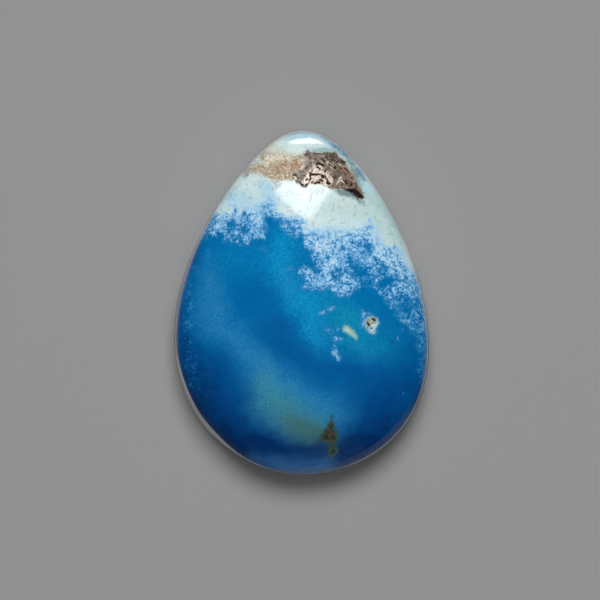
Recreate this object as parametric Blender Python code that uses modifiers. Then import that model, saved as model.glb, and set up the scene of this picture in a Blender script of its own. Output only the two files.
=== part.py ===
"""A pear-shaped turquoise cabochon: one polished stone with a domed top and a flat back.

The stone lies on its flat back, with the dome up (+Z) and the narrow tip toward +Y.
The origin is in the plane of the back, under the middle of the outline's box.
All lengths are in metres and all angles in radians.
"""
import math

import bmesh
import bpy
from mathutils import Vector, noise
from mathutils.geometry import intersect_point_line

MM = 0.001

# Driving dimensions of the stone
LENGTH = 27.0 * MM
THICKNESS = 6.2 * MM
GIRDLE_HEIGHT = 2.7 * MM
BACK_BEVEL = 0.3 * MM

# The outline, cut by hand and so a little different on its two sides.
# A half width is taken before the taper, which draws the stone in toward the tip.
RIGHT_HALF_WIDTH = 9.57 * MM
RIGHT_TAPER = -0.284
RIGHT_FULLNESS = -0.004
LEFT_HALF_WIDTH = 9.32 * MM
LEFT_TAPER = -0.263
LEFT_FULLNESS = -0.052

# The dome, which is highest over the round end and flatter than a true ellipse
CROWN_Y = -2.4 * MM
CROWN_POWER = 2.25

# The girdle leans in from the back to the shoulder, most where it was ground at the lower left
GIRDLE_LEAN = 0.12 * MM
GROUND_LEAN = 0.26 * MM
GROUND_DIRECTION = math.radians(-139.0)
GROUND_SPREAD = math.radians(17.0)

# The brown matrix band, softer than the turquoise and so undercut by the polishing.
# Each point is x, y and the band's half width there.
MATRIX_BAND = (
    (-4.2 * MM, 10.15 * MM, 0.15 * MM),
    (-3.1 * MM, 10.9 * MM, 0.85 * MM),
    (-1.2 * MM, 10.6 * MM, 1.00 * MM),
    (0.6 * MM, 10.4 * MM, 1.25 * MM),
    (2.4 * MM, 10.3 * MM, 1.35 * MM),
    (3.5 * MM, 9.8 * MM, 1.00 * MM),
    (4.2 * MM, 9.0 * MM, 0.55 * MM),
    (4.7 * MM, 8.25 * MM, 0.18 * MM),
)
MATRIX_SINK = 0.03 * MM
MATRIX_EDGE = 0.35 * MM
PIT_DEPTH = 0.18 * MM
PIT_SPACING = 0.75 * MM

# Two small pale vugs in the right half, given in the same way
ROUND_VUG = (
    (5.42 * MM, -1.48 * MM, 0.46 * MM),
    (5.52 * MM, -1.66 * MM, 0.42 * MM),
)
LONG_VUG = (
    (3.38 * MM, -1.90 * MM, 0.22 * MM),
    (3.70 * MM, -2.10 * MM, 0.30 * MM),
    (4.25 * MM, -2.75 * MM, 0.14 * MM),
)
VUG_EDGE = 0.30 * MM
ROUND_VUG_DEPTH = 0.26 * MM
LONG_VUG_DEPTH = 0.12 * MM

# Fineness of the surface
SEGMENTS = 104
DOME_RINGS = 24
REFINE_MARGIN = 0.25 * MM
REFINE_CUTS = 2
SMOOTH_ANGLE = math.radians(35.0)

STONE_COLOUR = (0.012, 0.150, 0.420, 1.0)
STONE_ROUGHNESS = 0.12


def clear_scene():
    for leftover in list(bpy.data.objects):
        bpy.data.objects.remove(leftover)


def smooth_step(value):
    """Eases from 0 to 1 as the value goes from 0 to 1."""
    value = min(max(value, 0.0), 1.0)
    return value * value * (3.0 - 2.0 * value)


def outline(turn):
    """The widest outline, with the turn counted clockwise from the tip."""
    on_right = math.sin(turn) >= 0.0
    half_width = RIGHT_HALF_WIDTH if on_right else LEFT_HALF_WIDTH
    taper = RIGHT_TAPER if on_right else LEFT_TAPER
    fullness = RIGHT_FULLNESS if on_right else LEFT_FULLNESS
    swell = 1.0 + taper * math.cos(turn) + fullness * math.cos(2.0 * turn)
    return Vector((half_width * math.sin(turn) * swell, LENGTH / 2.0 * math.cos(turn)))


def girdle_lean(turn):
    """How far the shoulder lies inside the widest outline."""
    off_ground = math.remainder(turn - GROUND_DIRECTION, math.tau) / GROUND_SPREAD
    return GIRDLE_LEAN + GROUND_LEAN * math.exp(-off_ground * off_ground)


def edge_inset(turn, height):
    """How far the edge lies inside the widest outline at a height above the back."""
    if height < BACK_BEVEL:
        return BACK_BEVEL - height
    climb = (height - BACK_BEVEL) / (GIRDLE_HEIGHT - BACK_BEVEL)
    return girdle_lean(turn) * min(climb, 1.0)


def dome_height(share):
    """The height at a share of the way from the crown to the shoulder."""
    rise = THICKNESS - GIRDLE_HEIGHT
    return GIRDLE_HEIGHT + rise * math.sqrt(max(1.0 - share ** CROWN_POWER, 0.0))


def turned_blank():
    """A round blank turned about Z, its radius 1 and its heights those of the stone."""
    shares = [math.sin(math.pi / 2.0 * ring / DOME_RINGS) for ring in range(DOME_RINGS + 1)]
    profile = [(share, dome_height(share)) for share in shares]
    profile += [(1.0, BACK_BEVEL), (1.0, 0.0), (0.0, 0.0)]

    mesh = bpy.data.meshes.new("profile")
    corners = [(radius, 0.0, height) for radius, height in profile]
    links = [(low, low + 1) for low in range(len(profile) - 1)]
    mesh.from_pydata(corners, links, [])
    blank = bpy.data.objects.new("blank", mesh)
    bpy.context.scene.collection.objects.link(blank)

    screw = blank.modifiers.new("turn", "SCREW")
    screw.axis = "Z"
    screw.angle = math.tau
    screw.steps = SEGMENTS
    screw.render_steps = SEGMENTS
    screw.use_merge_vertices = True
    screw.merge_threshold = 0.00001
    return blank


def shaped_to_outline(bm):
    """Carries the round blank out to the pear outline, keeping each height."""
    crown = Vector((0.0, CROWN_Y))
    for vertex in bm.verts:
        share = math.hypot(vertex.co.x, vertex.co.y)
        turn = math.atan2(vertex.co.x, vertex.co.y)
        reach = outline(turn) - crown
        reach *= 1.0 - edge_inset(turn, vertex.co.z) / reach.length
        place = crown + reach * share
        vertex.co.x = place.x
        vertex.co.y = place.y


def centred(bm):
    """Sets the middle of the outline's box over the origin."""
    for axis in (0, 1):
        places = [vertex.co[axis] for vertex in bm.verts]
        middle = (min(places) + max(places)) / 2.0
        for vertex in bm.verts:
            vertex.co[axis] -= middle


def depth_inside(point, strip):
    """How far a point lies inside a strip of changing width; negative outside it."""
    flat_point = Vector((point.x, point.y, 0.0))
    deepest = -LENGTH
    for start, end in zip(strip, strip[1:]):
        start_point = Vector((start[0], start[1], 0.0))
        end_point = Vector((end[0], end[1], 0.0))
        along = intersect_point_line(flat_point, start_point, end_point)[1]
        along = min(max(along, 0.0), 1.0)
        nearest = start_point.lerp(end_point, along)
        half_width = start[2] + (end[2] - start[2]) * along
        deepest = max(deepest, half_width - (flat_point - nearest).length)
    return deepest


def in_relief(point):
    strips = (MATRIX_BAND, ROUND_VUG, LONG_VUG)
    return any(depth_inside(point, strip) > -REFINE_MARGIN for strip in strips)


def refined(bm):
    """Divides the dome's faces more finely where the surface is rough."""
    rough = set()
    for face in bm.faces:
        middle = face.calc_center_median()
        if middle.z > GIRDLE_HEIGHT and in_relief(middle):
            rough.add(face)
    edges = [edge for edge in bm.edges if rough.intersection(edge.link_faces)]
    bmesh.ops.subdivide_edges(bm, edges=edges, cuts=REFINE_CUTS, use_grid_fill=True)


def relief_depth(point):
    """How deep the surface lies under the smooth dome, from the matrix band and the vugs."""
    band = smooth_step(depth_inside(point, MATRIX_BAND) / MATRIX_EDGE)
    grain = noise.noise(point / PIT_SPACING) + 0.5 * noise.noise(point / PIT_SPACING * 2.3)
    depth = band * (MATRIX_SINK + PIT_DEPTH * max(grain, 0.0))
    depth += ROUND_VUG_DEPTH * smooth_step(depth_inside(point, ROUND_VUG) / VUG_EDGE)
    depth += LONG_VUG_DEPTH * smooth_step(depth_inside(point, LONG_VUG) / VUG_EDGE)
    return depth


def undercut(bm):
    """Presses the pits of the matrix band and the two vugs into the polished dome."""
    bm.normal_update()
    moves = []
    for vertex in bm.verts:
        if vertex.co.z > GIRDLE_HEIGHT:
            moves.append((vertex, vertex.normal * relief_depth(vertex.co)))
    for vertex, move in moves:
        vertex.co -= move


def turquoise():
    material = bpy.data.materials.new("turquoise")
    material.use_nodes = True
    shader = material.node_tree.nodes["Principled BSDF"]
    shader.inputs["Base Color"].default_value = STONE_COLOUR
    shader.inputs["Roughness"].default_value = STONE_ROUGHNESS
    shader.inputs["Metallic"].default_value = 0.0
    return material


def cabochon(collection):
    blank = turned_blank()
    turned = blank.evaluated_get(bpy.context.evaluated_depsgraph_get())
    mesh = bpy.data.meshes.new_from_object(turned)
    mesh.name = "cabochon"
    bpy.data.objects.remove(blank)

    bm = bmesh.new()
    bm.from_mesh(mesh)
    shaped_to_outline(bm)
    centred(bm)
    refined(bm)
    undercut(bm)
    bm.to_mesh(mesh)
    bm.free()

    mesh.shade_smooth()
    mesh.set_sharp_from_angle(angle=SMOOTH_ANGLE)
    mesh.materials.clear()
    mesh.materials.append(turquoise())
    stone = bpy.data.objects.new("cabochon", mesh)
    collection.objects.link(stone)


def main():
    clear_scene()
    collection = bpy.data.collections.new("turquoise_cabochon")
    bpy.context.scene.collection.children.link(collection)
    cabochon(collection)


main()
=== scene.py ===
"""The looks of the turquoise cabochon: a fine polished surface, its natural pattern and a soft studio.

The stone lies on its flat back with the narrow tip toward +Y, and the camera looks straight down on it.
The form is in metres and radians. The pattern is drawn in millimetres, as seen from above, with x to the
right and y toward the tip, both from the middle of the outline.
"""
import math

import bmesh
import bpy
import numpy as np
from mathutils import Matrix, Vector, noise
from mathutils.kdtree import KDTree


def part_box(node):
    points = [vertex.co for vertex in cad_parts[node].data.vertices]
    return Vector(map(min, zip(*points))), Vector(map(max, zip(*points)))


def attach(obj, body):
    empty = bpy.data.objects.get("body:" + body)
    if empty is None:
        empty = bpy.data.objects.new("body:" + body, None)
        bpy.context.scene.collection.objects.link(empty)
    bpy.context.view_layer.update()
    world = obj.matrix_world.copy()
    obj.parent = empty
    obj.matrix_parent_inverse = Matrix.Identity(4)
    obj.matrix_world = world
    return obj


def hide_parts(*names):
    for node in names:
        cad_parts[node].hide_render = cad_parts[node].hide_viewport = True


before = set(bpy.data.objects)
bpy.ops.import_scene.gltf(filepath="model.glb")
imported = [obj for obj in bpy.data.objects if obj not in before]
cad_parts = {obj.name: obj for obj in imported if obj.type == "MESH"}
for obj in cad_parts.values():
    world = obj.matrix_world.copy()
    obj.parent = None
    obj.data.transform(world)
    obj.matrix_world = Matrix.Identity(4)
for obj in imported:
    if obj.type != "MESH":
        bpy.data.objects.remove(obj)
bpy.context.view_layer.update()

MM = 0.001
STONE_LOW, STONE_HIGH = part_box("cabochon")
LENGTH = STONE_HIGH.y - STONE_LOW.y
THICKNESS = STONE_HIGH.z - STONE_LOW.z

# The form of the stone, as in its solid
GIRDLE_HEIGHT = 2.7 * MM
BACK_BEVEL = 0.3 * MM
RIGHT_SIDE = {"half_width": 9.57 * MM, "taper": -0.284, "fullness": -0.004}
LEFT_SIDE = {"half_width": 9.32 * MM, "taper": -0.263, "fullness": -0.052}
CROWN_Y = -2.4 * MM
CROWN_POWER = 2.25
GIRDLE_LEAN = 0.12 * MM
GROUND_LEAN = 0.26 * MM
GROUND_DIRECTION = math.radians(-139.0)
GROUND_SPREAD = math.radians(17.0)

# Fineness of the mesh
SEGMENTS = 420
DOME_RINGS = 100
GIRDLE_ROWS = 20
BEVEL_ROWS = 3
BACK_ROWS = 18
REFINE_CUTS = 2
REFINE_MARGIN = 0.15
BACK_WANDER = 2.6
WANDER_SEED = 9
POLISHED = 0.07
RIM_WIDTH_AT_SIDES = 0.43
RIM_WIDTH_AT_ENDS = 0.14
RIM_BROAD_WIDTH = 0.34
ARRIS_WIDTH = 0.17
SHINING_DIRECTION = math.radians(160.0)
BACK_DULLNESS = 0.5
RIM_BROAD_DIRECTION = math.radians(-126.0)
RIM_BROAD_SPREAD = math.radians(24.0)
SHARP_ANGLE = math.radians(40.0)

# The girdle and the back are ground, not polished: chalky at their edges and a little paler between
SHOULDER_CHALK = 0.90
BACK_EDGE_CHALK = 0.30
GIRDLE_CHALK = 0.30
BACK_CHALK = 0.10

# The photograph's frame: 600 pixels across, at this many pixels to a millimetre
FRAME_PIXELS = 600
PIXELS_PER_MM = 12.74
CAMERA_AIM = Vector((-0.14 * MM, 0.22 * MM, 1.0 * MM))
CAMERA_DISTANCE = 0.8
SENSOR_WIDTH = 36.0


# The form


def outline(turn):
    """The widest outline, with the turn counted clockwise from the tip."""
    on_right = np.sin(turn) >= 0.0
    side = {key: np.where(on_right, RIGHT_SIDE[key], LEFT_SIDE[key]) for key in RIGHT_SIDE}
    swell = 1.0 + side["taper"] * np.cos(turn) + side["fullness"] * np.cos(2.0 * turn)
    return side["half_width"] * np.sin(turn) * swell, LENGTH / 2.0 * np.cos(turn)


def edge_inset(turn, height):
    """How far the edge lies inside the widest outline at a height above the back."""
    if height < BACK_BEVEL:
        return np.full_like(turn, BACK_BEVEL - height)
    off_ground = np.angle(np.exp(1j * (turn - GROUND_DIRECTION))) / GROUND_SPREAD
    lean = GIRDLE_LEAN + GROUND_LEAN * np.exp(-off_ground ** 2)
    return lean * min((height - BACK_BEVEL) / (GIRDLE_HEIGHT - BACK_BEVEL), 1.0)


def dome_height(share):
    rise = THICKNESS - GIRDLE_HEIGHT
    return GIRDLE_HEIGHT + rise * math.sqrt(max(1.0 - share ** CROWN_POWER, 0.0))


def rows_of_stone():
    """Every ring of the surface from the crown to the middle of the back: share of the radius, height."""
    dome = [math.sin(math.pi / 2.0 * ring / DOME_RINGS) for ring in range(1, DOME_RINGS + 1)]
    girdle = np.linspace(GIRDLE_HEIGHT, BACK_BEVEL, GIRDLE_ROWS + 1)[1:]
    bevel = np.linspace(BACK_BEVEL, 0.0, BEVEL_ROWS + 1)[1:]
    back = np.linspace(1.0, 0.0, BACK_ROWS + 1)[1:-1]
    rows = [(share, dome_height(share)) for share in dome]
    rows += [(1.0, float(height)) for height in girdle]
    rows += [(1.0, float(height)) for height in bevel]
    rows += [(float(share), 0.0) for share in back]
    return rows


def smooth_stone():
    """The polished form before the matrix and the vugs are pressed in."""
    turns = np.linspace(0.0, math.tau, SEGMENTS, endpoint=False)
    edge_x, edge_y = outline(turns)
    reach_x, reach_y = edge_x, edge_y - CROWN_Y
    reach = np.hypot(reach_x, reach_y)
    points = [(0.0, CROWN_Y, THICKNESS)]
    rows = rows_of_stone()
    for share, height in rows:
        scale = share * (1.0 - edge_inset(turns, height) / reach)
        ring = np.column_stack((reach_x * scale, CROWN_Y + reach_y * scale, np.full(SEGMENTS, height)))
        points += [tuple(point) for point in ring]
    points.append((0.0, CROWN_Y, 0.0))

    faces = []
    last = len(points) - 1
    last_row = 1 + (len(rows) - 1) * SEGMENTS
    for step in range(SEGMENTS):
        following = (step + 1) % SEGMENTS
        faces.append((0, 1 + following, 1 + step))
        for row in range(len(rows) - 1):
            upper = 1 + row * SEGMENTS
            lower = upper + SEGMENTS
            faces.append((upper + step, upper + following, lower + following, lower + step))
        faces.append((last, last_row + step, last_row + following))

    mesh = bpy.data.meshes.new("stone")
    mesh.from_pydata(points, [], faces)
    centre_x = (edge_x.max() + edge_x.min()) / 2.0
    for vertex in mesh.vertices:
        vertex.co.x -= centre_x
    mesh.update()
    return mesh


# Shapes of the pattern, in millimetres


def ease(value, low, high):
    """Rises smoothly from 0 at low to 1 at high."""
    share = np.clip((value - low) / (high - low), 0.0, 1.0)
    return share * share * (3.0 - 2.0 * share)


def strip_depth(x, y, strip):
    """How far each place lies inside a strip of points (x, y, half width); negative outside it."""
    deepest = np.full_like(x, -99.0)
    for (start_x, start_y, start_half), (end_x, end_y, end_half) in zip(strip, strip[1:]):
        run_x, run_y = end_x - start_x, end_y - start_y
        along = ((x - start_x) * run_x + (y - start_y) * run_y) / (run_x ** 2 + run_y ** 2)
        along = np.clip(along, 0.0, 1.0)
        away = np.hypot(x - start_x - along * run_x, y - start_y - along * run_y)
        deepest = np.maximum(deepest, start_half + (end_half - start_half) * along - away)
    return deepest


def polygon_depth(x, y, corners):
    """How far each place lies inside a closed outline; negative outside it."""
    nearest = np.full_like(x, 99.0)
    inside = np.zeros(x.shape, dtype=bool)
    for (start_x, start_y), (end_x, end_y) in zip(corners, corners[1:] + corners[:1]):
        run_x, run_y = end_x - start_x, end_y - start_y
        along = ((x - start_x) * run_x + (y - start_y) * run_y) / (run_x ** 2 + run_y ** 2)
        along = np.clip(along, 0.0, 1.0)
        away = np.hypot(x - start_x - along * run_x, y - start_y - along * run_y)
        nearest = np.minimum(nearest, away)
        if run_y != 0.0:
            crossing = start_x + (y - start_y) * run_x / run_y
            inside ^= ((start_y > y) != (end_y > y)) & (x < crossing)
    return np.where(inside, nearest, -nearest)


def patch(x, y, centre_x, centre_y, radius_x, radius_y, lean=0.0):
    """A soft oval: 1 in its middle, a half at its radius. It leans clockwise, in degrees."""
    turn = math.radians(lean)
    across = (x - centre_x) * math.cos(turn) - (y - centre_y) * math.sin(turn)
    along = (x - centre_x) * math.sin(turn) + (y - centre_y) * math.cos(turn)
    return 0.5 ** ((across / radius_x) ** 2 + (along / radius_y) ** 2)


def patches(x, y, ovals):
    """The sum of soft ovals (amount, centre x, centre y, radius x, radius y, lean)."""
    total = np.zeros_like(x)
    for amount, *oval in ovals:
        total += amount * patch(x, y, *oval)
    return total


# The pale cap at the tip, where hardly any blue shows
PALE_CAP = [
    (-9.0, 7.1), (-7.2, 7.2), (-6.4, 7.1), (-5.9, 7.3), (-5.2, 7.5), (-4.3, 7.4), (-3.4, 7.5),
    (-3.0, 7.5), (-2.5, 7.9), (-2.1, 7.6), (-1.97, 7.2), (-1.6, 6.9), (-1.05, 6.65),
    (-0.5, 6.7), (-0.15, 6.4), (0.1, 6.0), (0.6, 5.7), (1.3, 5.6), (2.6, 5.5), (3.5, 5.6),
    (4.5, 5.8), (5.3, 6.0), (6.0, 5.5), (6.3, 4.6), (6.9, 4.3), (7.5, 3.9), (7.9, 3.0),
    (8.3, 2.3), (9.5, 1.9), (9.5, 14.0), (-9.0, 14.0),
]
# The mottled ground on each side of the blue wedge, where pale and blue are mixed
LEFT_MOTTLE = [
    (-9.5, 8.5), (-8.8, 4.5), (-7.3, 5.0), (-6.5, 5.3), (-5.6, 5.2), (-5.0, 4.7), (-4.1, 4.45), (-3.9, 4.9),
    (-3.2, 5.1), (-2.9, 5.0), (-2.65, 5.5), (-2.4, 6.1), (-1.7, 5.7), (-1.2, 5.35), (-0.4, 5.2),
    (0.2, 4.6), (1.5, 5.6), (0.0, 9.0), (-6.0, 9.0),
]
RIGHT_MOTTLE = [
    (-0.4, 6.6), (-0.05, 5.0), (0.25, 4.25), (0.75, 4.0), (0.85, 3.1), (1.4, 2.6), (1.25, 2.3), (0.7, 2.7),
    (0.1, 2.85), (-0.35, 2.5), (0.0, 2.0), (0.1, 1.5), (-0.3, 1.15), (0.0, 0.75), (0.5, 1.05),
    (1.5, 1.05), (2.3, 1.0), (2.6, 0.65), (3.1, 0.4), (3.8, 0.7), (4.0, 0.9), (4.6, 0.95),
    (5.7, 0.9), (6.2, 0.3), (6.5, -0.4), (7.0, -0.9), (7.5, -1.5), (8.0, -1.8), (8.1, -2.3),
    (8.6, -2.8), (8.8, -4.0), (9.0, -5.0), (9.3, -6.5), (11.0, -6.5), (11.0, 9.0), (3.0, 9.0),
]
LEFT_PALENESS = 0.46
RIGHT_PALENESS = 0.575
LOW_RIGHT_PALENESS = 0.20
# Paler (above 0) and bluer (below 0) spots: amount, centre x and y, radius x and y, lean in degrees
PALE_SPOTS = (
    (-0.45, -5.50, 6.25, 0.36, 0.40, 0.0),
    (-0.25, -4.50, 5.50, 0.30, 0.50, 0.0),
    (-0.25, -6.30, 5.45, 0.18, 0.36, 15.0),
    (-0.30, -7.15, 6.20, 0.22, 0.45, 20.0),
    (-0.35, -5.10, 7.05, 0.12, 0.22, 0.0),
    (-0.35, -4.35, 6.85, 0.40, 0.14, -10.0),
    (-0.36, -2.85, 6.60, 0.26, 0.40, -20.0),
    (-0.08, -2.20, 7.20, 0.12, 0.38, 10.0),
    (0.12, -2.30, 7.90, 0.40, 0.40, 0.0),
    (-0.30, -2.35, 6.20, 0.40, 0.26, 0.0),
    (-0.25, -1.65, 6.30, 0.30, 0.36, -30.0),
    (-0.30, -0.75, 6.30, 0.26, 0.18, 0.0),
    (-0.25, -0.60, 5.85, 0.26, 0.18, 0.0),
    (-0.35, -0.15, 5.20, 0.16, 0.50, 0.0),
    (-0.20, -7.90, 5.00, 0.60, 0.50, 0.0),
    (0.22, -4.60, 4.75, 0.55, 0.20, 0.0),
    (0.20, -3.60, 5.50, 0.45, 0.40, 30.0),
    (0.10, -5.55, 5.45, 0.55, 0.22, 0.0),
    (0.16, -6.65, 6.50, 0.42, 0.38, 0.0),
    (0.14, -3.45, 6.40, 0.50, 0.36, 0.0),
    (0.10, -1.50, 5.80, 0.55, 0.26, 30.0),
    (0.16, -7.40, 3.80, 0.26, 0.60, 0.0),
    (0.16, -3.20, 4.30, 0.45, 0.36, 0.0),
    (0.14, -8.30, 2.70, 0.30, 0.30, 0.0),
    (0.25, -0.90, 2.75, 0.40, 0.14, 15.0),
    (0.12, 0.40, 2.35, 0.26, 0.40, 20.0),
    (0.10, 0.00, 1.00, 0.26, 0.24, 0.0),
    (0.10, 1.90, 2.60, 0.65, 0.75, 0.0),
    (0.14, 2.70, 3.15, 0.36, 0.40, 0.0),
    (0.12, 3.15, 1.20, 0.70, 0.42, -20.0),
    (0.32, 3.40, 0.35, 0.22, 0.20, 0.0),
    (0.10, 1.00, 4.60, 0.80, 0.50, 0.0),
    (0.12, 5.40, 3.20, 0.26, 0.26, 0.0),
    (0.16, 7.20, 3.20, 0.60, 0.70, 0.0),
    (0.12, 6.40, 0.90, 0.50, 0.16, 0.0),
    (0.10, 7.60, 0.60, 0.45, 0.45, 0.0),
    (0.12, 8.50, 0.80, 0.30, 0.50, 0.0),
    (-0.25, 3.20, 2.35, 0.30, 0.32, 0.0),
    (-0.25, 2.80, 2.00, 0.26, 0.16, 40.0),
    (-0.38, 4.60, 2.25, 0.50, 0.26, 15.0),
    (-0.34, 3.80, 3.15, 0.18, 0.50, -20.0),
    (-0.45, 5.15, 4.50, 0.30, 0.70, -15.0),
    (-0.30, 5.65, 3.70, 0.16, 0.60, -20.0),
    (-0.18, 4.30, 2.90, 0.40, 0.50, 0.0),
    (-0.40, 6.45, 2.65, 0.28, 0.40, 0.0),
    (-0.60, 6.65, 1.60, 0.42, 0.32, 0.0),
    (-0.25, 7.70, 3.50, 0.14, 0.60, -15.0),
    (-0.30, 8.15, 2.30, 0.14, 0.42, 0.0),
    (-0.30, 7.25, 1.95, 0.22, 0.22, 0.0),
    (-0.32, 5.15, 1.40, 0.40, 0.36, 0.0),
    (-0.25, 4.50, 1.40, 0.16, 0.40, -30.0),
    (-0.35, 3.30, 4.20, 0.28, 0.12, -20.0),
    (-0.25, 1.70, 3.10, 0.26, 0.12, 0.0),
    (-0.25, 1.30, 3.60, 0.14, 0.45, -15.0),
    (-0.25, 1.20, 1.90, 0.16, 0.16, 0.0),
    (-0.20, 7.15, 6.40, 0.14, 0.32, -25.0),
    (-0.45, 1.00, 5.05, 0.20, 0.07, 20.0),
    (-0.35, 3.20, 4.95, 0.10, 0.08, 0.0),
    (-0.40, 4.15, 4.60, 0.14, 0.08, 0.0),
    (-0.40, 4.60, 4.80, 0.10, 0.14, 0.0),
    (-0.30, 5.20, 6.35, 0.10, 0.08, 0.0),
    (-0.35, 7.20, 4.30, 0.08, 0.10, 0.0),
    (-0.40, 7.20, 3.05, 0.10, 0.08, 0.0),
    (-0.40, 0.60, 4.60, 0.08, 0.14, 30.0),
    (-0.18, 5.20, 2.20, 1.20, 1.20, 0.0),
    (-0.30, 7.80, 0.20, 1.30, 1.20, 0.0),
    (-0.12, 2.40, 1.90, 1.20, 0.80, 0.0),
    (-0.15, -0.10, 1.00, 0.40, 0.30, 0.0),
    (0.30, -4.60, 7.05, 1.50, 0.45, 0.0),
    (0.12, -2.50, 7.05, 0.60, 0.30, 0.0),
    (0.12, -6.80, 5.90, 0.60, 0.50, 0.0),
    (-0.16, -3.90, 5.70, 0.60, 0.50, 0.0),
    (-0.12, -2.50, 5.70, 0.50, 0.50, 0.0),
    (-0.10, 0.60, 4.50, 0.60, 0.60, 0.0),
    (0.14, 1.70, 2.90, 0.50, 0.40, 0.0),
    (0.10, 5.50, 3.20, 0.40, 0.40, 0.0),
    (0.08, 1.50, 1.60, 0.50, 0.40, 0.0),
    (0.16, -6.20, 4.90, 0.60, 0.30, 0.0),
    (0.12, 7.40, 1.50, 0.50, 0.50, 0.0),
    (-0.14, 6.00, 0.80, 0.50, 0.60, 0.0),
    (-0.10, 0.30, 1.60, 0.40, 0.30, 0.0),
    (0.10, 1.60, 4.20, 0.70, 0.40, 0.0),
    (0.10, -1.20, 7.10, 0.60, 0.30, 0.0),
    (-0.08, 3.20, 1.50, 0.80, 0.50, 0.0),
    (-0.12, 8.60, 0.10, 0.80, 0.90, 0.0),
    (0.14, 0.40, 5.70, 0.70, 0.50, 0.0),
    (0.10, 3.20, 5.50, 1.60, 0.60, 0.0),
    (0.14, 5.40, 5.30, 1.30, 0.70, 0.0),
    (0.18, 1.70, 4.50, 0.80, 0.50, 0.0),
    (0.16, 6.10, 4.30, 0.70, 0.70, 0.0),
    (0.12, 7.40, 1.60, 0.60, 0.60, 0.0),
    (-0.10, 3.60, 6.60, 0.50, 0.25, 0.0),
    (-0.08, 6.30, 6.10, 0.50, 0.50, 0.0),
)
# Lilac scraps lying loose in the blue
SCRAPS = (
    (0.56, 2.40, -3.80, 0.22, 0.24, -30.0),
    (0.56, 2.78, -4.22, 0.15, 0.26, -25.0),
    (0.45, 2.50, -3.38, 0.10, 0.16, 0.0),
    (0.36, 2.20, -0.55, 0.42, 0.20, 0.0),
    (0.30, 1.55, -0.70, 0.26, 0.16, 0.0),
    (0.44, 2.70, -2.75, 0.30, 0.24, -30.0),
    (0.36, 2.05, -2.10, 0.34, 0.20, 0.0),
    (0.26, 2.70, -1.90, 0.26, 0.20, 45.0),
    (0.20, 3.20, -2.80, 0.22, 0.20, 0.0),
    (0.36, 5.15, -0.75, 0.26, 0.20, 0.0),
    (0.30, 4.75, -0.60, 0.18, 0.32, 0.0),
    (0.36, 4.70, -1.35, 0.20, 0.45, 0.0),
    (0.26, 4.55, -1.90, 0.26, 0.22, 0.0),
    (0.60, 5.55, -2.30, 0.28, 0.14, -20.0),
    (0.45, 5.05, -2.10, 0.16, 0.12, -30.0),
    (0.30, 6.40, -1.05, 0.26, 0.06, 0.0),
    (0.36, 7.45, -2.80, 0.28, 0.05, 40.0),
    (0.24, 7.75, -2.20, 0.16, 0.14, 0.0),
    (0.60, -5.45, -7.50, 0.04, 0.04, 0.0),
    (0.40, -4.55, -5.80, 0.06, 0.06, 0.0),
    (0.45, 8.05, -7.00, 0.09, 0.04, -30.0),
    (0.13, -9.00, 1.20, 0.40, 1.40, 0.0),
    (0.14, -8.90, -1.50, 0.50, 1.50, 0.0),
    (0.09, -8.60, -4.50, 0.70, 1.60, 0.0),
    (0.07, -7.80, -7.20, 0.70, 2.00, -32.0),
)

# Broad veils in the blue, given as strips of points (x, y, half width)
MILKY_VEIL = (
    (-7.3, 2.4, 0.6), (-7.2, 0.6, 0.8), (-6.6, -1.4, 0.8), (-5.2, -3.1, 0.6), (-3.6, -4.7, 1.0),
    (-1.9, -6.1, 1.2), (0.6, -7.4, 0.5), (2.4, -8.3, 0.6), (3.4, -8.8, 0.5),
)
GREEN_VEIL = (
    (-2.9, -6.4, 0.6), (-2.2, -7.9, 1.3), (-1.2, -8.7, 1.2), (0.5, -9.3, 1.0), (1.6, -9.5, 0.7),
)
CYAN_VEIL = (
    (-1.1, 5.0, 0.4), (-1.3, 3.6, 0.7), (-1.1, 1.9, 0.7), (-0.3, 0.4, 0.9), (0.7, -1.2, 0.8), (1.3, -2.6, 0.4),
)

# Broad tints of the blue and of the pale ground, in the same way as the spots
CYAN_TINT = (
    (0.25, -4.50, 3.40, 2.40, 0.80, 0.0),
    (0.30, 2.00, 0.30, 1.30, 0.60, 0.0),
)
LAGOON_TINT = (
    (0.95, 3.70, -1.10, 1.30, 1.00, 0.0),
    (0.60, 4.20, -3.20, 1.30, 0.80, 0.0),
    (0.38, 6.30, -3.00, 1.60, 1.00, 0.0),
    (0.40, 1.60, -0.20, 1.20, 0.80, 0.0),
)
MILKY_TINT = (
    (0.40, -1.00, 2.00, 0.60, 1.00, 0.0),
    (0.12, 5.80, -4.00, 1.20, 0.60, 0.0),
    (0.25, 2.00, -2.40, 0.80, 0.80, 0.0),
)
LOW_TINT = (
    (0.92, 6.40, -8.40, 4.60, 2.90, -40.0),
    (0.18, 8.30, -4.60, 1.20, 2.20, 0.0),
    (0.45, 2.20, -5.40, 3.00, 1.20, 0.0),
    (0.55, -0.80, -3.40, 1.80, 1.60, -30.0),
    (0.32, -2.60, -1.80, 1.80, 1.60, 0.0),
    (0.80, -8.60, 3.80, 0.80, 1.20, 0.0),
    (0.25, -3.80, 0.80, 1.20, 1.40, 0.0),
    (1.00, -6.20, -7.60, 2.60, 2.40, 30.0),
    (0.25, -6.80, -4.60, 1.20, 1.20, 0.0),
    (0.80, -8.90, -3.60, 0.90, 2.40, 0.0),
    (0.35, -9.40, 0.40, 0.50, 2.00, 0.0),
    (0.80, 0.00, -11.60, 5.00, 1.20, 0.0),
)
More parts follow.
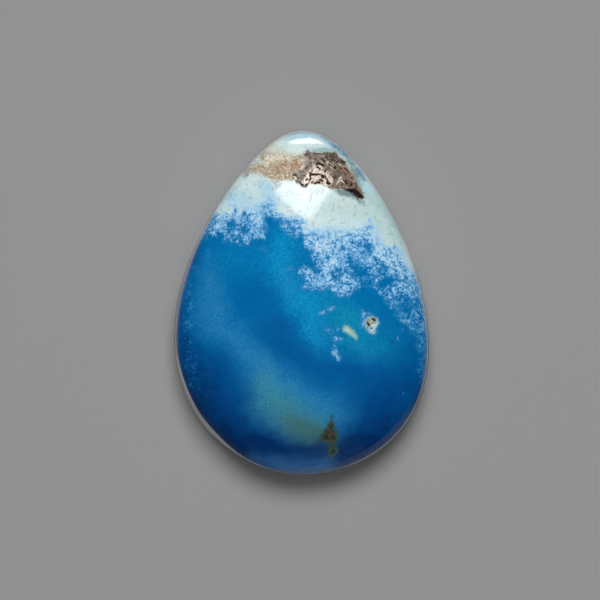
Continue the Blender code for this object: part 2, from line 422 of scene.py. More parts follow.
NAVY_TINT = (
    (0.85, -5.40, -10.40, 3.80, 1.90, 35.0),
    (0.58, -8.40, -7.20, 1.40, 2.60, 20.0),
    (0.62, -1.60, -11.60, 3.40, 1.00, 5.0),
    (0.68, 5.20, -10.60, 3.80, 1.80, -35.0),
    (0.65, 2.40, -11.50, 3.20, 0.90, -8.0),
    (0.35, -9.20, -3.60, 0.50, 2.40, 0.0),
)
OLIVE_TINT = (
    (0.72, 0.70, -9.95, 1.70, 0.80, 18.0),
    (0.30, -1.20, -9.20, 1.40, 0.90, 30.0),
    (0.25, 1.80, -9.70, 0.70, 0.50, 0.0),
)
MINT_TINT = (
    (0.75, 3.60, 7.50, 2.60, 1.20, 0.0),
    (0.80, 6.30, 6.40, 1.20, 2.00, -25.0),
    (0.80, 7.40, 4.60, 0.60, 1.20, -20.0),
    (0.60, 8.60, 2.20, 0.40, 0.80, -10.0),
)
IVORY_TINT = (
    (1.00, -2.40, 12.15, 1.30, 0.42, 20.0),
    (0.45, 3.40, 7.70, 1.20, 0.50, 15.0),
    (0.45, -4.60, 9.60, 0.70, 0.40, 40.0),
)
TEAL_TINT = (
    (1.00, 1.60, 12.06, 1.10, 0.24, 0.0),
    (0.60, 4.50, 9.90, 0.30, 0.90, -22.0),
    (0.60, 4.40, 7.90, 0.42, 0.16, 20.0),
    (0.40, -4.40, 9.95, 0.40, 0.20, -30.0),
    (0.30, 6.60, 7.20, 0.40, 1.20, -30.0),
    (0.40, 5.40, 8.30, 0.30, 0.80, -30.0),
)
STAIN_TINT = (
    (0.80, 4.30, 8.05, 0.75, 0.16, 28.0),
    (1.00, 3.25, 8.60, 0.70, 0.24, 12.0),
    (0.90, 4.20, 10.25, 0.22, 0.80, -22.0),
    (0.90, 3.55, 11.40, 0.24, 0.40, -40.0),
    (0.90, -4.15, 10.35, 0.45, 0.28, -35.0),
    (0.30, -3.60, 11.30, 0.30, 0.40, 0.0),
)
SKY_TINT = (
    (0.90, 0.40, 13.15, 2.20, 0.30, 0.0),
    (0.80, 2.10, 12.65, 0.90, 0.45, 35.0),
    (0.50, 0.80, 5.20, 1.60, 0.90, 0.0),
    (0.50, 3.40, 5.40, 2.00, 0.60, 0.0),
    (0.75, -4.80, 7.80, 2.60, 0.55, 10.0),
    (0.60, -2.20, 8.20, 0.80, 0.60, 0.0),
    (0.30, -5.80, 8.70, 1.00, 0.60, 0.0),
    (0.30, 6.60, 5.00, 0.90, 0.90, 0.0),
    (0.30, 4.60, 6.80, 0.90, 0.50, 0.0),
    (0.80, 5.20, 9.20, 0.45, 1.20, -28.0),
    (0.70, -2.90, 8.80, 0.80, 0.50, 0.0),
)
# The blue line along the edge at the tip, and the lighter band near the edge at the round end, which is a painted
# reflection laid over the real one
TIP_LINE = (
    (-1.6, 13.15, 0.05), (-0.2, 13.42, 0.13), (1.2, 13.32, 0.06), (2.2, 12.70, 0.18), (3.0, 12.02, 0.28),
    (3.7, 11.30, 0.16), (4.3, 10.45, 0.18), (4.9, 9.60, 0.08),
)
ROUND_END_PAINTED_REFLECTION = (
    (-3.8, -12.70, 0.00), (-2.0, -13.05, 0.12), (0.0, -13.20, 0.16), (2.0, -13.00, 0.05),
)

# The brown matrix band across the tip
BAND = [
    (-4.5, 10.0), (-4.05, 10.2), (-3.4, 10.05), (-3.0, 9.85), (-2.25, 9.6), (-2.0, 9.35), (-1.65, 9.55),
    (-0.7, 9.55), (-0.35, 9.3), (0.0, 9.05), (0.3, 9.0), (0.55, 9.25), (1.4, 9.25), (1.85, 9.1),
    (2.4, 8.85), (3.0, 8.9), (3.4, 8.8), (4.7, 8.0), (4.9, 8.15), (4.85, 8.5), (4.65, 8.9),
    (4.4, 9.4), (4.2, 9.9), (3.9, 10.35), (3.55, 10.8), (3.5, 11.0), (3.2, 11.3), (2.85, 11.6),
    (2.6, 11.85), (1.6, 11.75), (0.7, 11.8), (0.45, 12.0), (0.1, 11.75), (-0.3, 11.6), (-1.0, 11.6),
    (-1.6, 11.65), (-2.3, 11.75), (-3.1, 11.9), (-3.4, 11.5), (-3.3, 11.05), (-3.75, 10.85),
    (-4.15, 10.6), (-4.6, 10.15),
]
DARK_PART = [
    (0.1, 12.2), (0.25, 10.9), (0.25, 10.4), (-0.25, 10.35), (-0.7, 10.0), (-0.75, 9.7), (-0.5, 9.2),
    (0.3, 8.7), (5.2, 7.7), (5.2, 9.0), (3.6, 11.4), (2.9, 12.2),
]
# Where the key light's reflection breaks into glints on the polished islands; their cream there is partly a
# painted highlight
GLINTS = [
    (0.8, 10.85), (0.55, 10.3), (0.3, 10.0), (0.1, 9.6), (-0.2, 9.3), (0.3, 9.05), (1.2, 9.2), (2.3, 9.15),
    (2.5, 9.6), (2.3, 10.15), (1.75, 10.3), (1.6, 10.8), (1.2, 11.0),
]
TAIL = [
    (3.3, 8.88), (3.8, 8.9), (4.2, 8.85), (4.5, 8.65), (4.85, 8.2), (4.7, 8.02), (4.4, 8.12),
    (4.1, 8.38), (3.8, 8.6), (3.4, 8.78),
]
# Where the band has no sharp border
BLURRED_BORDERS = (
    (1.00, -3.70, 10.80, 0.80, 1.10, 0.0),
    (0.90, -1.50, 11.75, 1.60, 0.35, 0.0),
    (1.00, 4.20, 10.20, 0.50, 1.30, -25.0),
)
GREY_SPOTS = (
    (1.00, 0.60, 10.85, 0.36, 0.36, 0.0),
    (1.00, -0.10, 9.98, 0.34, 0.36, 0.0),
    (0.45, 1.90, 10.75, 0.35, 0.25, 0.0),
)
SHADE_SPOTS = (
    (0.85, 2.70, 9.95, 0.34, 0.36, 0.0),
    (1.00, 1.90, 11.66, 1.10, 0.09, 0.0),
    (0.50, 1.90, 11.15, 1.10, 0.35, 0.0),
    (0.80, 2.40, 11.35, 0.35, 0.20, 0.0),
    (0.90, 0.50, 11.75, 0.22, 0.16, 20.0),
    (0.90, 3.25, 11.05, 0.25, 0.16, -20.0),
    (0.90, -3.25, 11.28, 0.15, 0.13, 0.0),
    (0.60, 3.50, 9.50, 0.20, 0.25, 0.0),
    (0.60, 3.20, 9.00, 0.20, 0.16, 0.0),
)
RUST_SPOTS = (
    (1.35, -0.50, 10.64, 0.38, 0.28, 0.0),
    (0.50, -1.70, 10.20, 0.60, 0.20, 10.0),
    (0.70, -1.50, 10.65, 0.30, 0.16, 0.0),
    (0.25, -2.60, 10.40, 0.90, 0.26, 0.0),
    (0.35, -1.00, 9.85, 0.50, 0.22, 0.0),
    (0.60, 3.90, 9.80, 0.35, 0.80, -25.0),
    (0.55, 3.35, 10.60, 0.30, 0.35, 0.0),
)
CREAM_SPOTS = (
    (0.80, -1.80, 11.30, 1.10, 0.28, 0.0),
    (0.60, -2.80, 10.90, 0.50, 0.30, 0.0),
    (0.60, 0.00, 10.35, 0.14, 0.90, 22.0),
    (0.70, -0.30, 9.65, 0.40, 0.12, -40.0),
    (0.90, 2.90, 9.50, 0.10, 0.50, 20.0),
    (0.50, 1.90, 10.00, 0.20, 0.20, 0.0),
)
# Pits with names of their own, given as strips
PITS = (
    ((0.75, 10.02, 0.06), (1.10, 10.02, 0.09), (1.45, 10.05, 0.05)),
    ((1.00, 9.32, 0.06), (1.40, 9.38, 0.08)),
    ((1.98, 9.40, 0.08), (2.12, 9.32, 0.12), (2.25, 9.32, 0.05)),
    ((0.28, 9.05, 0.06), (0.40, 9.22, 0.10)),
    ((1.38, 9.62, 0.05), (1.62, 9.52, 0.08)),
    ((0.60, 9.55, 0.05), (0.70, 9.75, 0.06)),
    ((1.85, 9.95, 0.03), (1.90, 9.70, 0.05)),
    ((-3.38, 11.27, 0.07), (-3.18, 11.29, 0.11)),
    ((3.15, 11.05, 0.07), (3.45, 10.98, 0.09)),
    ((1.18, 10.93, 0.05), (1.40, 10.86, 0.08)),
    ((3.40, 9.45, 0.06), (3.52, 9.32, 0.08)),
)
# Fine cracks in the white below the band
CRACKS = (
    ((0.85, 8.65, 0.025), (0.72, 8.20, 0.03), (0.63, 7.87, 0.02)),
    ((-1.70, 9.30, 0.03), (-2.25, 8.80, 0.02)),
    ((-2.35, 9.55, 0.03), (-2.00, 9.20, 0.03)),
    ((1.45, 8.85, 0.02), (1.20, 8.50, 0.02)),
    ((1.80, 8.90, 0.02), (1.60, 8.60, 0.02)),
    ((1.30, 8.95, 0.02), (1.05, 8.75, 0.02)),
)

# Two small vugs with pale fill, and the small marks beside them
ROUND_VUG = [
    (4.89, -1.48), (5.10, -1.13), (5.49, -1.04), (5.97, -1.26), (6.00, -1.65), (5.75, -2.00),
    (5.66, -2.39), (5.40, -2.42), (5.14, -2.18), (4.92, -1.83),
]
ROUND_VUG_EYE = ((5.30, -1.55, 0.30), (5.48, -1.38, 0.30))
ROUND_VUG_HOLES = (
    ((5.56, -1.26, 0.09), (5.70, -1.38, 0.10)),
    ((5.15, -1.60, 0.09), (5.26, -1.76, 0.10)),
    ((5.12, -1.98, 0.05), (5.16, -1.98, 0.05)),
    ((5.42, -2.00, 0.05), (5.46, -2.01, 0.05)),
)
LONG_VUG = [
    (3.20, -2.00), (3.33, -1.70), (3.57, -1.76), (3.92, -2.06), (4.15, -2.32), (4.33, -2.62), (4.25, -2.87),
    (3.98, -2.66), (3.57, -2.38), (3.26, -2.22),
]
DARK_MARKS = (
    (0.80, 7.10, -3.08, 0.14, 0.14, 0.0),
    (0.45, 7.00, -2.80, 0.10, 0.30, 20.0),
    (0.40, 5.97, -2.80, 0.18, 0.26, 0.0),
    (0.30, 3.20, -1.00, 0.10, 0.20, 30.0),
)

# A dark fern-like growth near the round end
TREE = [
    (2.36, -8.85), (2.40, -9.30), (2.62, -9.60), (2.50, -9.80), (2.80, -10.05), (2.66, -10.20), (2.90, -10.45),
    (2.66, -10.62), (2.74, -10.85), (2.55, -10.95), (2.62, -11.40), (2.20, -11.40), (2.18, -10.80),
    (1.90, -10.90), (1.66, -10.75), (1.25, -10.85), (1.50, -10.52), (1.36, -10.40), (1.76, -10.10),
    (1.70, -9.95), (2.02, -9.65), (1.98, -9.50), (2.22, -9.25),
]
TREE_FOOT = (
    (1.00, 2.45, -11.60, 0.38, 0.30, -20.0),
    (0.45, 2.25, -12.20, 0.16, 0.30, 10.0),
)


def matrix_relief(x, y, z):
    """Depth of the pits in the matrix band, and how polished its surface stays, at every place."""
    band = polygon_depth(x, y, BAND)
    dark = ease(polygon_depth(x, y, DARK_PART), -0.15, 0.15)
    edge = ease(band, -0.03, 0.18)
    coarse = np.zeros_like(x)
    fine = np.zeros_like(x)
    for index in np.flatnonzero(band > -0.2):
        place = Vector((x[index], y[index], z[index]))
        coarse[index] = noise.noise(place / 0.26)
        fine[index] = noise.noise(place / 0.12 + Vector((7.0, 3.0, 1.0)))
    glints = ease(polygon_depth(x, y, GLINTS), -0.2, 0.2)
    pits = dark * ease(coarse + 0.35 * fine + 0.02 * glints, 0.12, 0.34)
    grain = (1.0 - dark) * ease(coarse + 0.5 * fine, 0.12, 0.5)
    depth = edge * (0.10 * pits + 0.06 * grain + 0.012 * fine)
    named = np.zeros_like(x)
    for strip in PITS:
        named = np.maximum(named, ease(strip_depth(x, y, strip), -0.04, 0.05))
    tail = ease(polygon_depth(x, y, TAIL), -0.03, 0.12)
    depth += 0.14 * named + 0.16 * tail
    return depth, np.clip(edge * (pits + 0.7 * grain) + named, 0.0, 1.0)


def relief_depth(x, y, z):
    """How deep the surface lies under the polished dome, in millimetres, and where it is pitted."""
    depth, pitted = matrix_relief(x, y, z)
    depth += 0.10 * ease(polygon_depth(x, y, ROUND_VUG), -0.02, 0.30)
    holes = np.zeros_like(x)
    for strip in ROUND_VUG_HOLES:
        holes = np.maximum(holes, ease(strip_depth(x, y, strip), -0.03, 0.06))
    depth += 0.16 * holes
    depth += 0.07 * ease(polygon_depth(x, y, LONG_VUG), -0.02, 0.20)
    for strip in CRACKS:
        depth += 0.02 * ease(strip_depth(x, y, strip), -0.03, 0.02)
    return depth, pitted, holes


def refined(bm):
    """Divides the dome's faces more finely where the surface is rough."""
    middles = [face.calc_center_median() for face in bm.faces]
    x = np.array([middle.x for middle in middles]) / MM
    y = np.array([middle.y for middle in middles]) / MM
    depth = np.maximum(polygon_depth(x, y, BAND), polygon_depth(x, y, ROUND_VUG))
    depth = np.maximum(depth, polygon_depth(x, y, LONG_VUG))
    rough = set()
    for face, middle, inside in zip(bm.faces, middles, depth):
        if inside > -REFINE_MARGIN and middle.z > GIRDLE_HEIGHT:
            rough.add(face)
    edges = [edge for edge in bm.edges if rough.intersection(edge.link_faces)]
    bmesh.ops.subdivide_edges(bm, edges=edges, cuts=REFINE_CUTS, use_grid_fill=True)


def relieved(mesh):
    """Presses the pits and vugs into the polished form."""
    bm = bmesh.new()
    bm.from_mesh(mesh)
    refined(bm)
    bm.normal_update()
    bm.verts.ensure_lookup_table()
    places = np.array([vertex.co for vertex in bm.verts]) / MM
    depth = relief_depth(*places.T)[0]
    above = places[:, 2] > GIRDLE_HEIGHT / MM
    moves = [(bm.verts[index], depth[index] * MM) for index in np.flatnonzero((depth > 0.0) & above)]
    moves = [(vertex, vertex.normal * down) for vertex, down in moves]
    for vertex, move in moves:
        vertex.co -= move
    bm.to_mesh(mesh)
    bm.free()


def wandered(x, y, z, size, amount, seed):
    """The places moved sideways by smooth noise of a size, by an amount that may differ from place to place."""
    shifts = np.zeros((len(x), 3))
    offset = Vector((seed, -seed, 2.0 * seed))
    for index, place in enumerate(zip(x, y, z)):
        shifts[index] = noise.noise_vector(Vector(place) / size + offset)
    return x + amount * shifts[:, 0], y + amount * shifts[:, 1]


def pattern_places(mesh):
    """Where each vertex lies in the pattern, which wanders off under the girdle and over the back."""
    places = np.empty(len(mesh.vertices) * 3)
    mesh.vertices.foreach_get("co", places)
    x, y, z = places.reshape(-1, 3).T / MM
    under = ease(GIRDLE_HEIGHT / MM - z, 0.0, GIRDLE_HEIGHT / MM)
    x, y = wandered(x, y, z, 5.0, BACK_WANDER * under, 4.0)
    return x, y, z


def chalk_below(heights, flat):
    """How pale the ground surfaces are at heights in millimetres, most where a flat was ground."""
    below = GIRDLE_HEIGHT / MM - heights
    shoulder = 1.0 - ease(below - 2.6 * flat, 0.0, SHOULDER_CHALK)
    back_edge = 0.7 * (1.0 - ease(heights - BACK_BEVEL / MM, 0.0, BACK_EDGE_CHALK))
    girdle = np.maximum(GIRDLE_CHALK, np.maximum(shoulder, back_edge))
    return np.where(heights < 0.5 * BACK_BEVEL / MM, BACK_CHALK, girdle)


def rim_fields(mesh):
    """How chalky the stone is where it is ground, with a painted reflection as a pale veil and line along the
    dome's edge, and how far the polish fades beside the shoulder.
    """
    turns = np.linspace(0.0, math.tau, 4 * SEGMENTS, endpoint=False)
    edge_x, edge_y = outline(turns)
    edge_x = edge_x - (edge_x.max() + edge_x.min()) / 2.0
    tree = KDTree(len(turns))
    for index, spot in enumerate(zip(edge_x, edge_y)):
        tree.insert((*spot, 0.0), index)
    tree.balance()
    nearest = [tree.find((vertex.co.x, vertex.co.y, 0.0)) for vertex in mesh.vertices]
    distance = np.array([found[2] for found in nearest]) / MM
    turn = np.array([turns[found[1]] for found in nearest])
    heights = np.array([vertex.co.z for vertex in mesh.vertices]) / MM
    above = heights > GIRDLE_HEIGHT / MM - 0.01
    distance = np.where(above, distance, 0.0)

    off_ground = np.angle(np.exp(1j * (turn - RIM_BROAD_DIRECTION))) / RIM_BROAD_SPREAD
    flat = np.exp(-off_ground ** 2)
    width = RIM_WIDTH_AT_ENDS + (RIM_WIDTH_AT_SIDES - RIM_WIDTH_AT_ENDS) * np.sin(turn) ** 4
    # On the dome: a pale veil fading inward from the edge, wider at the sides, is a painted reflection
    rim = np.clip(1.0 - distance / width, 0.0, 1.0) ** 2
    ground = ease(RIM_BROAD_WIDTH * flat - distance, -0.04, 0.04)
    # A pale line just inside the shoulder on the dome: painted reflection
    arris = ease(ARRIS_WIDTH - distance, -0.05, 0.05)
    arris *= 1.0 - np.maximum(0.7 * ease(np.cos(turn), 0.6, 0.9), ease(-np.cos(turn), 0.93, 0.99))
    rim = np.maximum(np.maximum(rim, ground), 0.95 * arris)
    rim = np.where(above, rim, chalk_below(heights, flat))
    return {"rim": rim, "dull": dullness(turn, distance, heights), "girdle": np.where(above, 0.0, 1.0)}


def dullness(turn, distance, heights):
    """How far the polish fades: beside the shoulder, but not at the tip and less at the round end."""
    at_tip = ease(np.cos(turn), 0.6, 0.9)
    at_round_end = ease(np.cos(turn - SHINING_DIRECTION), 0.75, 0.97)
    beside = (1.0 - ease(distance, 0.8, 1.8)) * (1.0 - np.maximum(at_tip, 0.7 * at_round_end))
    return np.where(heights < 0.5 * BACK_BEVEL / MM, BACK_DULLNESS, beside)


def pale_field(x, y):
    """How pale the ground is: 0 in the clear blue and 1 in the white."""
    cap = ease(polygon_depth(x, y, PALE_CAP), -1.7, 0.9)
    left = ease(polygon_depth(x, y, LEFT_MOTTLE), -0.35, 0.45)
    right = ease(polygon_depth(x, y, RIGHT_MOTTLE), -0.35, 0.45)
    sunk = np.where(x > 5.0, ease(-y, -1.0, 3.5), 0.0)
    right_paleness = RIGHT_PALENESS + (LOW_RIGHT_PALENESS - RIGHT_PALENESS) * sunk
    ground = np.maximum(cap, np.maximum(LEFT_PALENESS * left, right_paleness * right))
    return np.clip(ground + patches(x, y, PALE_SPOTS) + patches(x, y, SCRAPS), 0.0, 1.2)


def veil(x, y, strip):
    return ease(strip_depth(x, y, strip), -1.5, 1.1)


def pattern_fields(mesh):
    """Every field of the pattern at every vertex, by name."""
    x, y, z = pattern_places(mesh)
    _, pitted, holes = relief_depth(x, y, z)
    soft_x, soft_y = wandered(x, y, z, 1.4, 0.35, 0.0)
    soft_x, soft_y = wandered(soft_x, soft_y, z, 0.5, 0.15, 9.0)
    broad_x, broad_y = wandered(soft_x, soft_y, z, 3.0, 0.7, 5.0)
    on_dome = z > GIRDLE_HEIGHT / MM
    cracks = np.zeros_like(x)
    for strip in CRACKS:
        cracks = np.maximum(cracks, ease(strip_depth(x, y, strip), -0.05, 0.02))
    return {
        "pale": pale_field(soft_x, soft_y),
        "cyan": patches(broad_x, broad_y, CYAN_TINT) + 0.9 * veil(broad_x, broad_y, CYAN_VEIL),
        "lagoon": patches(broad_x, broad_y, LAGOON_TINT),
        "milky": patches(broad_x, broad_y, MILKY_TINT) + 0.9 * veil(broad_x, broad_y, MILKY_VEIL),
        "low": patches(broad_x, broad_y, LOW_TINT),
        "navy": patches(broad_x, broad_y, NAVY_TINT),
        "green": 0.95 * ease(strip_depth(broad_x, broad_y, GREEN_VEIL), -1.8, 1.1),
        "olive": patches(broad_x, broad_y, OLIVE_TINT),
        "mint": patches(broad_x, broad_y, MINT_TINT),
        "teal": patches(soft_x, soft_y, TEAL_TINT),
        "sky": patches(broad_x, broad_y, SKY_TINT),
        "ivory": patches(broad_x, broad_y, IVORY_TINT),
        "stain": patches(soft_x, soft_y, STAIN_TINT),
        "blurred": patches(x, y, BLURRED_BORDERS),
        "tip_line": ease(strip_depth(x, y, TIP_LINE), -0.20, 0.14),
        "painted_reflection_band": ease(strip_depth(soft_x, soft_y, ROUND_END_PAINTED_REFLECTION), -1.55, 0.55),
        "band": polygon_depth(x, y, BAND),
        "dark": polygon_depth(x, y, DARK_PART),
        "glints": polygon_depth(x, y, GLINTS),
        "tail": polygon_depth(x, y, TAIL),
        "pitted": pitted,
        "grey": patches(x, y, GREY_SPOTS),
        "shade": patches(x, y, SHADE_SPOTS),
        "rust": patches(soft_x, soft_y, RUST_SPOTS),
        "cream": patches(soft_x, soft_y, CREAM_SPOTS),
        "cracks": cracks * on_dome,
        "round_vug": np.where(on_dome, polygon_depth(x, y, ROUND_VUG), -1.0),
        "vug_eye": strip_depth(x, y, ROUND_VUG_EYE),
        "long_vug": np.where(on_dome, polygon_depth(x, y, LONG_VUG), -1.0),
        "marks": patches(x, y, DARK_MARKS) * on_dome,
        "holes": holes * on_dome,
        "tree": np.where(on_dome, polygon_depth(x, y, TREE), -1.0),
        "foot": patches(x, y, TREE_FOOT) * on_dome,
        **rim_fields(mesh),
    }


def stored(mesh, fields):
    for name, values in fields.items():
        layer = mesh.attributes.new(name, "FLOAT", "POINT")
        layer.data.foreach_set("value", values.astype(np.float32))


# The material


class Graph:
    """Short calls for the nodes of one material. Sizes are in millimetres."""

    def __init__(self, name):
        self.material = bpy.data.materials.new(name)
        self.material.use_nodes = True
        self.nodes = self.material.node_tree.nodes
        self.links = self.material.node_tree.links
        self.shader = self.nodes["Principled BSDF"]
        self.place = self.nodes.new("ShaderNodeTexCoord").outputs["Object"]

    def put(self, value, socket):
        if isinstance(value, bpy.types.NodeSocket):
            self.links.new(value, socket)
        elif isinstance(value, tuple):
            socket.default_value = (*value, 1.0)
        else:
            socket.default_value = value

    def math(self, operation, *values):
        node = self.nodes.new("ShaderNodeMath")
        node.operation = operation
        for value, socket in zip(values, node.inputs):
            self.put(value, socket)
        return node.outputs[0]

    def field(self, name):
        node = self.nodes.new("ShaderNodeAttribute")
        node.attribute_name = name
        return node.outputs["Fac"]

    def ease(self, value, low, high, start=0.0, end=1.0):
        node = self.nodes.new("ShaderNodeMapRange")
        node.interpolation_type = "SMOOTHSTEP"
        for number, name in ((low, "From Min"), (high, "From Max"), (start, "To Min"), (end, "To Max")):
            self.put(number, node.inputs[name])
        self.put(value, node.inputs["Value"])
        return node.outputs[0]

    def ramp(self, value):
        """The value held between 0 and 1."""
        node = self.nodes.new("ShaderNodeClamp")
        self.put(value, node.inputs["Value"])
        return node.outputs[0]

    def noise(self, size, detail=1.0, roughness=0.5, seed=0.0):
        """Grain of a size, or of three sizes along x, y and z, swinging about 0 by roughly 1 each way."""
        moved = self.nodes.new("ShaderNodeVectorMath")
        moved.operation = "MULTIPLY_ADD"
        self.links.new(self.place, moved.inputs[0])
        sizes = size if isinstance(size, tuple) else (size, size, size)
        moved.inputs[1].default_value = tuple(1.0 / (length * MM) for length in sizes)
        moved.inputs[2].default_value = (seed, seed * 1.7, -seed)
        node = self.nodes.new("ShaderNodeTexNoise")
        node.inputs["Scale"].default_value = 1.0
        node.inputs["Detail"].default_value = detail
        node.inputs["Roughness"].default_value = roughness
        self.links.new(moved.outputs[0], node.inputs["Vector"])
        return self.math("MULTIPLY_ADD", node.outputs[0], 4.0, -2.0)

    def strands(self, length, width, lean, seed):
        """Grain drawn out into strands that lean by an angle from the x axis."""
        turned = self.nodes.new("ShaderNodeMapping")
        turned.vector_type = "TEXTURE"
        turned.inputs["Location"].default_value = (seed * MM, -seed * MM, 0.0)
        turned.inputs["Rotation"].default_value = (0.0, 0.0, lean)
        turned.inputs["Scale"].default_value = (length * MM, width * MM, length * MM)
        self.links.new(self.place, turned.inputs["Vector"])
        node = self.nodes.new("ShaderNodeTexNoise")
        node.inputs["Scale"].default_value = 1.0
        node.inputs["Detail"].default_value = 1.0
        node.inputs["Distortion"].default_value = 1.2
        self.links.new(turned.outputs[0], node.inputs["Vector"])
        return self.math("MULTIPLY_ADD", node.outputs[0], 4.0, -2.0)

    def cells(self, size, seed):
        """How far each place lies from the borders of a net of uneven cells, as a share of their size."""
        moved = self.nodes.new("ShaderNodeVectorMath")
        moved.operation = "MULTIPLY_ADD"
        self.links.new(self.place, moved.inputs[0])
        moved.inputs[1].default_value = (1.0 / (size * MM),) * 3
        moved.inputs[2].default_value = (seed, -seed, seed)
        wobble = self.nodes.new("ShaderNodeTexNoise")
        wobble.inputs["Scale"].default_value = 1.3
        wobble.inputs["Detail"].default_value = 2.0
        self.links.new(moved.outputs[0], wobble.inputs["Vector"])
        shifted = self.nodes.new("ShaderNodeVectorMath")
        shifted.operation = "ADD"
        self.links.new(moved.outputs[0], shifted.inputs[0])
        self.links.new(wobble.outputs["Color"], shifted.inputs[1])
        net = self.nodes.new("ShaderNodeTexVoronoi")
        net.feature = "DISTANCE_TO_EDGE"
        net.inputs["Scale"].default_value = 1.0
        self.links.new(shifted.outputs[0], net.inputs["Vector"])
        return net.outputs["Distance"]

    def mix(self, share, under, over):
        node = self.nodes.new("ShaderNodeMix")
        node.data_type = "RGBA"
        colours = [socket for socket in node.inputs if socket.type == "RGBA"]
        self.put(share, node.inputs["Factor"])
        self.put(under, colours[0])
        self.put(over, colours[1])
        return next(socket for socket in node.outputs if socket.type == "RGBA")

    def plus(self, value, other, gain=1.0):
        return self.math("MULTIPLY_ADD", other, gain, value)

    def times(self, value, other):
        return self.math("MULTIPLY", value, other)


DEEP_BLUE = (0.0003, 0.140, 0.385)
CYAN = (0.004, 0.280, 0.575)
MILKY_BLUE = (0.019, 0.212, 0.470)
LAGOON = (0.005, 0.255, 0.450)
GRAIN_BLUE = (0.030, 0.330, 0.620)
LOW_BLUE = (0.0005, 0.070, 0.270)
NAVY = (0.001, 0.032, 0.145)
GREEN = (0.045, 0.265, 0.380)
OLIVE = (0.060, 0.148, 0.118)
MID_BLUE = (0.026, 0.225, 0.505)
LIGHT_BLUE = (0.165, 0.425, 0.720)
PALE_BLUE = (0.370, 0.630, 0.860)
SKY = (0.460, 0.700, 0.820)
WHITE = (0.680, 0.820, 0.820)
MINT = (0.520, 0.710, 0.700)
TEAL = (0.330, 0.520, 0.500)
TIP_BLUE = (0.110, 0.290, 0.440)
STAIN = (0.200, 0.280, 0.260)
# Painted reflection: the lighter blue near the edge at the round end
PAINTED_REFLECTION_BLUE = (0.070, 0.290, 0.680)
IVORY = (0.700, 0.740, 0.640)
BODY_LIGHT = (0.002, 0.190, 0.460)
SHADE_BLUE = (0.200, 0.400, 0.520)

TAN = (0.440, 0.380, 0.275)
CREAM = (0.740, 0.700, 0.560)
RUST = (0.360, 0.200, 0.105)
BROWN = (0.180, 0.130, 0.098)
GREY = (0.215, 0.178, 0.155)
DARK_BROWN = (0.080, 0.060, 0.045)
# Painted shade in the pits of the matrix
PIT_PAINTED_SHADE = (0.035, 0.022, 0.015)
# Cream of the glint islands, partly a painted highlight
ISLAND_CREAM_AND_PAINTED_HIGHLIGHT = (0.800, 0.680, 0.570)
ROSE_BROWN = (0.400, 0.290, 0.220)
BLACK = (0.018, 0.012, 0.011)

VUG_PALE = (0.500, 0.650, 0.680)
VUG_BLUE = (0.130, 0.380, 0.580)
VUG_TAN = (0.260, 0.280, 0.190)
VUG_CREAM = (0.560, 0.600, 0.500)
VUG_GREEN = (0.170, 0.440, 0.450)
# Painted shade in the holes of the round vug
HOLE_PAINTED_SHADE = (0.022, 0.025, 0.035)
DARK_MARK = (0.012, 0.090, 0.150)
TREE_GREEN = (0.022, 0.036, 0.022)
TREE_BROWN = (0.110, 0.070, 0.035)
OLIVE_DARK = (0.040, 0.080, 0.060)
FOOT_OLIVE = (0.060, 0.110, 0.075)
CRACK = (0.380, 0.360, 0.320)
# Chalk of the ground surfaces, also used for the painted reflection along the dome's edge
PALE_CHALK_AND_PAINTED_REFLECTION = (0.880, 0.900, 0.920)


# The tints of the blue in the order they are laid on: field, colour and how grainy it is
BLUE_TINTS = (
    ("low", LOW_BLUE, 0.06),
    ("cyan", CYAN, 0.34),
    ("lagoon", LAGOON, 0.30),
    ("milky", MILKY_BLUE, 0.24),
    ("green", GREEN, 0.16),
    ("navy", NAVY, 0.08),
    ("olive", OLIVE, 0.16),
)


def blue_ground(graph):
    """The translucent blue body in its broad tints, each a cloud of fine grains."""
    drift = graph.noise(2.2, 3.0, 0.55, 3.0)
    clouds = graph.noise(0.7, 2.0, 0.5, 44.0)
    grain = graph.noise(0.17, 1.0, 0.5, 41.0)
    body = graph.mix(graph.ease(grain, -1.0, 1.2, 0.0, 0.7), DEEP_BLUE, BODY_LIGHT)
    veiled = 0.0
    for name, colour, graininess in BLUE_TINTS:
        field = graph.field(name)
        swing = graph.plus(graph.plus(graph.times(drift, 0.10), clouds, 0.12), grain, graininess)
        share = graph.plus(field, graph.times(swing, graph.ease(field, 0.0, 0.5)))
        body = graph.mix(graph.ramp(share), body, colour)
        if name in ("cyan", "lagoon", "milky", "green"):
            veiled = graph.math("MAXIMUM", field, veiled)
    light = graph.times(graph.ease(grain, 0.0, 1.3), graph.ease(veiled, 0.05, 0.9, 0.0, 0.22))
    body = graph.mix(light, body, GRAIN_BLUE)
    body = graph.mix(graph.ease(grain, -0.2, -1.4, 0.0, 0.22), body, LOW_BLUE)
    # Painted reflection: a lighter blue band near the edge at the round end
    body = graph.mix(graph.times(graph.field("painted_reflection_band"), 0.66), body, PAINTED_REFLECTION_BLUE)
    speck = graph.noise(0.16, 1.0, 0.5, 9.0)
    specks = graph.times(graph.ease(speck, 0.45, 0.9), graph.ease(graph.field("green"), 0.15, 0.6, 0.0, 0.35))
    return graph.mix(specks, body, NAVY)


